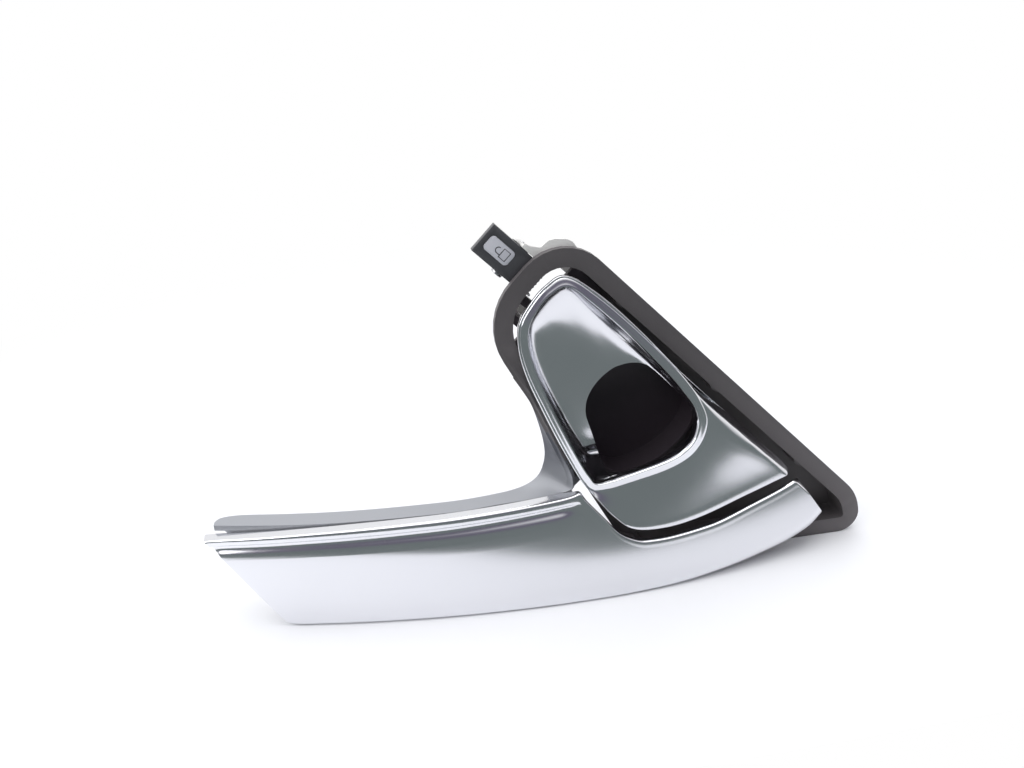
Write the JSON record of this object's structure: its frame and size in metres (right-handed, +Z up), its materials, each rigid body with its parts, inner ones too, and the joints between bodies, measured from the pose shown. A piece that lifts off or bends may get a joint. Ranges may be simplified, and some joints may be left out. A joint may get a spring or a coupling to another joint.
{
  "type": "car interior door handle",
  "caption": "Interior door handle of a car: a bowed satin pull blade on an arm, a slanted ring bezel with a sprung release lever and finger scoop, and a small lock tab.",
  "frame": {"origin": "axis of the main fixing boss, half-way between the two outer ones in the middle of the ring's slanted side, on the plane where the rim sits on the door panel", "axes": "+X to the right as the user faces the handle, +Y into the door panel, +Z up"},
  "size_m": [0.2847, 0.0477, 0.1551],
  "materials": {
    "dark_moulding": "fine-grained satin moulding",
    "satin_silver": "satin silver coat",
    "zinc_steel": "zinc plated",
    "black_moulding": "matte moulding",
    "white_nylon": "plain nylon",
    "pin_steel": "ground",
    "spring_steel": "plain",
    "black_rubber": "soft rubber",
    "foam_strip": "closed foam",
    "tab_moulding": "fine-grained satin moulding",
    "silver_plate": "bright satin plate"
  },
  "bodies": {
    "carrier": {"carrier": "dark_moulding", "pull_blade": "satin_silver", "blade_screws": "zinc_steel", "finger_cup": "black_moulding", "cup_screws": "zinc_steel", "hinge_bracket": "white_nylon", "bracket_screws": "zinc_steel", "hinge_pin": "pin_steel", "pin_clips": "spring_steel", "return_spring": "spring_steel", "lever_buffers": "black_rubber", "panel_clips": "spring_steel", "rim_seal": "foam_strip", "lock_pin": "pin_steel", "lock_spring": "spring_steel"},
    "lever": {"release_lever": "satin_silver", "lever_yoke": "black_moulding", "yoke_screws": "zinc_steel"},
    "lock": {"lock_tab": "tab_moulding", "lock_inlay": "silver_plate"}
  },
  "joints": [
    {"name": "lever_pull", "type": "hinge", "parent": "carrier", "child": "lever", "pos_m": [-0.06399, 0.0045, 0.06399], "axis": [-0.7071, 0, -0.7071], "range_deg": [0, 14], "stiffness_Nm_per_rad": 0.15, "springref_deg": -57.3},
    {"name": "lock_turn", "type": "hinge", "parent": "carrier", "child": "lock", "pos_m": [-0.07177, 0.0076, 0.07177], "axis": [0.7071, 0, 0.7071], "range_deg": [0, 12]}
  ]
}
